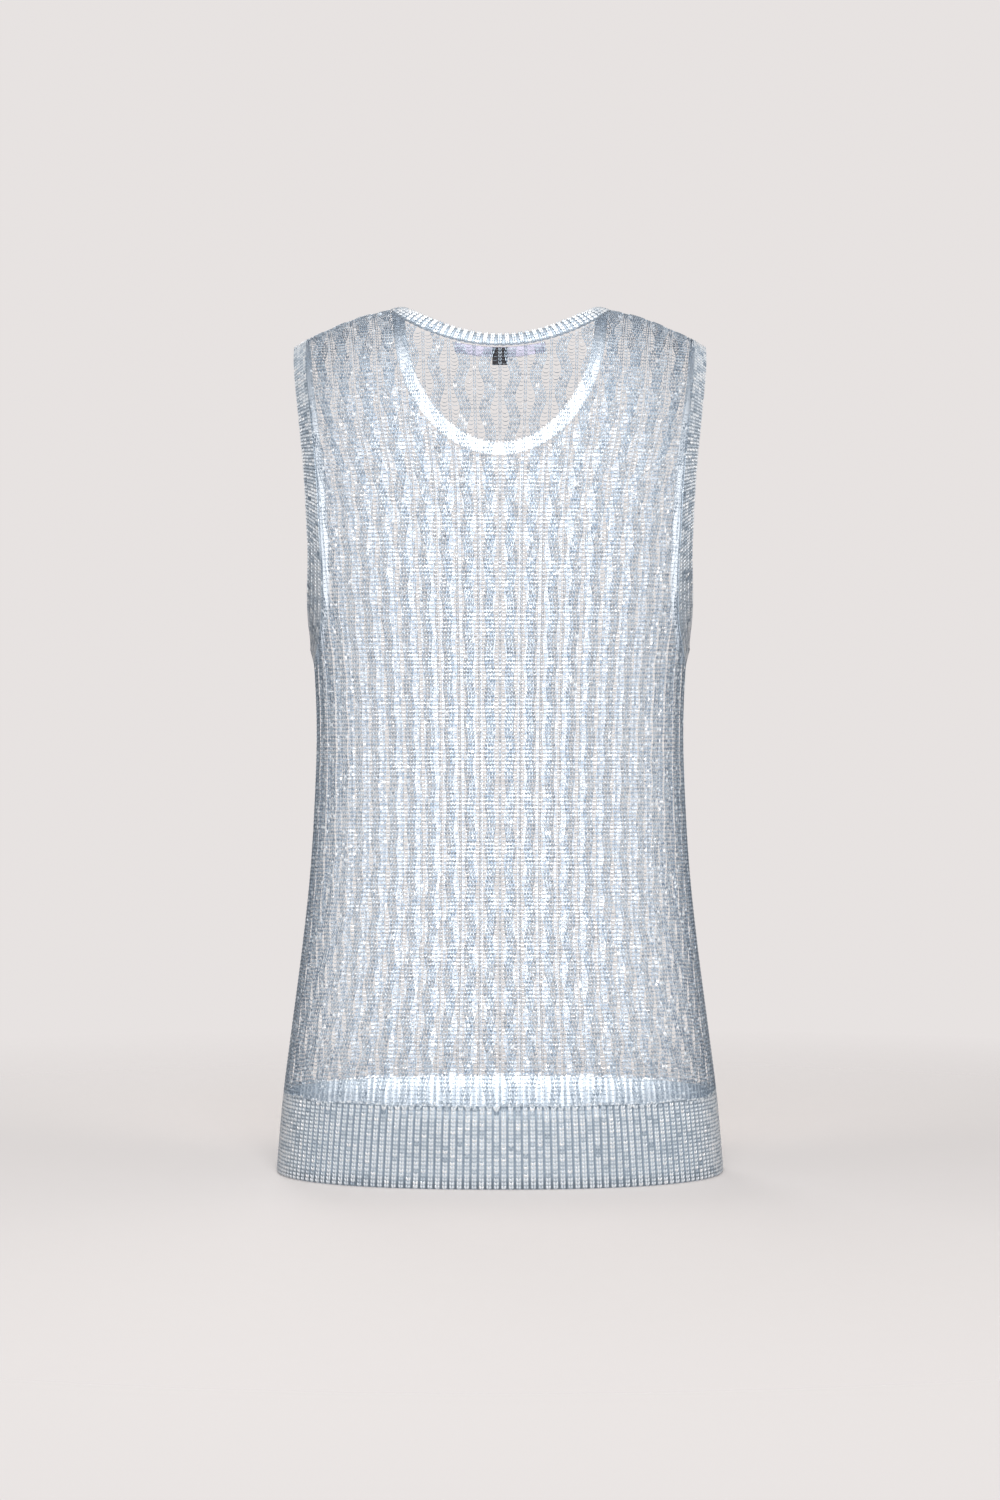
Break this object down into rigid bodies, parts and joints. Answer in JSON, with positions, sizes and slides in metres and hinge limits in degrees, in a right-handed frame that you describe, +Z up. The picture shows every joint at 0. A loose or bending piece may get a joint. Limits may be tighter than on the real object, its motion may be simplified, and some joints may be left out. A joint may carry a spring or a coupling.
{
  "type": "sleeveless knit top",
  "caption": "Sleeveless fine-knit top in open ladder stitch, filled out as worn, with ribbed hem and neck and banded armholes.",
  "frame": {"origin": "between the two shoulders, in the plane of the shoulder lines, at the height of the neck's highest points", "axes": "+Z up along the wearer, +X towards the right of the back view (the wearer's right shoulder when seen from behind), +Y out of the garment's front; the pictured back faces -Y"},
  "size_m": [0.3564, 0.2459, 0.688],
  "materials": {
    "open_knit": "open ladder knit in fine silver-blue metallic yarn",
    "rib_knit": "closed rib knit in the same silver-blue metallic yarn",
    "neck_tape": "flat lavender-grey woven tape",
    "size_tab": "plain black woven tab, bare"
  },
  "bodies": {
    "root": {"back_panel": "open_knit", "front_panel": "open_knit", "hem_rib_back": "rib_knit", "hem_rib_front": "rib_knit", "armhole_band_right": "rib_knit", "armhole_band_left": "rib_knit", "neck_rib": "rib_knit", "neck_tape": "neck_tape", "size_tab": "size_tab"}
  },
  "joints": []
}
